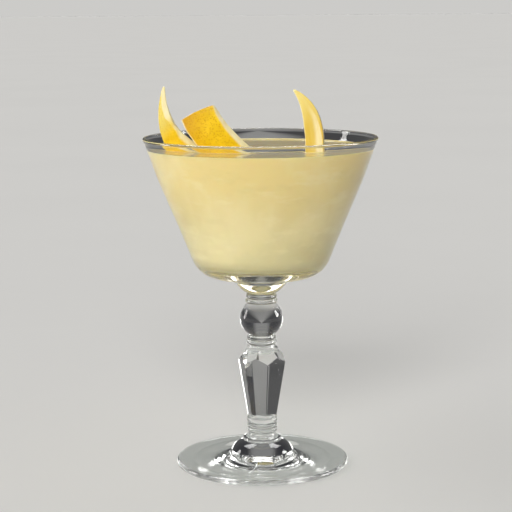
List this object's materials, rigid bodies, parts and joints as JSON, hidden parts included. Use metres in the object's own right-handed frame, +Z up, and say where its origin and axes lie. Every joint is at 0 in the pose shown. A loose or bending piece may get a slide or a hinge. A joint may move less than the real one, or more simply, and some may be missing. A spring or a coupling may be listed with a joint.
{
  "type": "bees knees cocktail",
  "caption": "Cloudy lemon and honey gin cocktail in a wide, flared stemmed glass with a faceted stem, with curls of lemon peel standing in it.",
  "frame": {"origin": "on the floor, under the middle of the glass's foot", "axes": "+Z up along the stem, +Y from the front towards the back, +X to the right seen from the front, where the yellow sides of the peels show"},
  "size_m": [0.0984, 0.0984, 0.1606],
  "materials": {
    "clear_glass": "clear, polished, pressed and fire-polished glass",
    "cloudy_drink": "cloudy pale honey-yellow liquid, opaque, with a smooth wet surface",
    "lemon_peel": "fresh lemon skin, satin yellow with fine pores, and a cream-white pith at its cut edges and back"
  },
  "bodies": {
    "root": {"glass": "clear_glass", "drink": "cloudy_drink", "peel_left": "lemon_peel", "peel_middle": "lemon_peel", "peel_right": "lemon_peel"}
  },
  "joints": []
}
